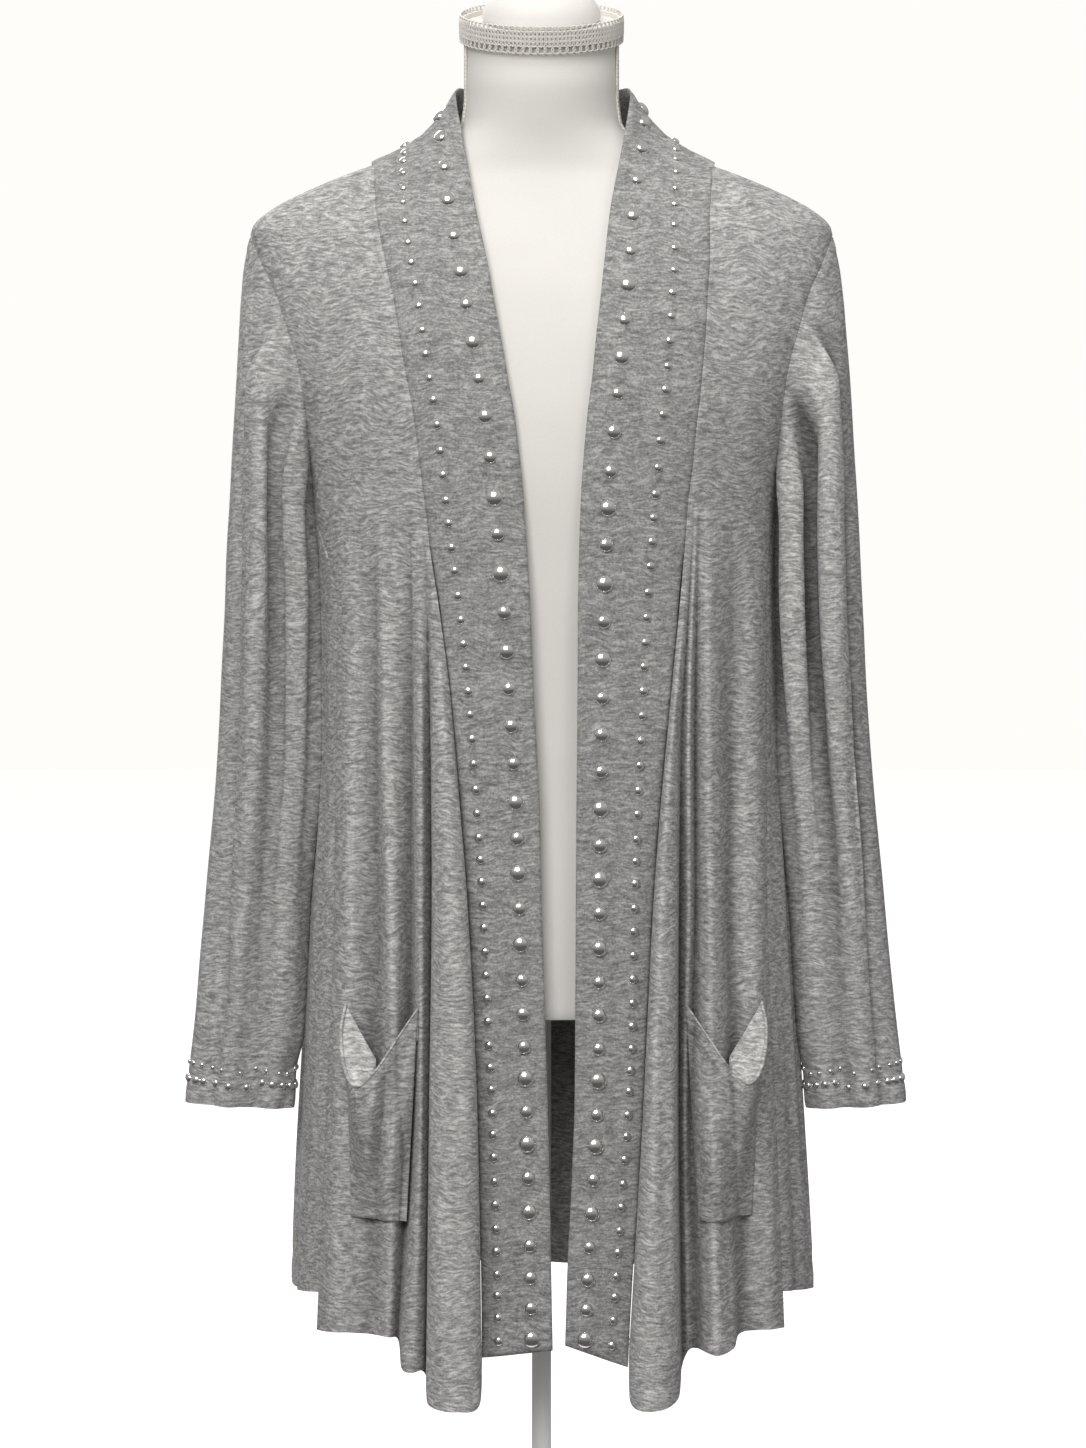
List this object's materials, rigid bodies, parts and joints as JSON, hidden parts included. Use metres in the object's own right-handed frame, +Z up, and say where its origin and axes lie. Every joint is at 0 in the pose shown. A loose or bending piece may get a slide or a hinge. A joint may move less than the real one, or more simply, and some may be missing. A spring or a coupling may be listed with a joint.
{
  "type": "waterfall cardigan on dress form",
  "caption": "Open-front jersey cardigan with long empty sleeves, studded front bands, cowl patch pockets and hanging front folds, on a limbless dress form with a round foot.",
  "frame": {"origin": "centre of the foot's underside, on the floor", "axes": "+Z up; the front opening faces -Y; the wearer's right is at -X, the wearer's left at +X"},
  "size_m": [0.5212, 0.33, 1.1556],
  "materials": {
    "jersey": "heather grey jersey, matt",
    "form_cover": "cream cotton, stretched",
    "braid": "cream woven braid",
    "stand": "off-white, satin"
  },
  "bodies": {
    "root": {"back": "jersey", "front_right": "jersey", "front_left": "jersey", "band_right": "jersey", "band_left": "jersey", "sleeve_right": "jersey", "sleeve_left": "jersey", "pocket_right": "jersey", "pocket_left": "jersey", "form_torso": "form_cover", "form_neck_trim": "braid", "form_neck_cap": "form_cover", "form_pole": "stand", "form_base": "stand"}
  },
  "joints": []
}
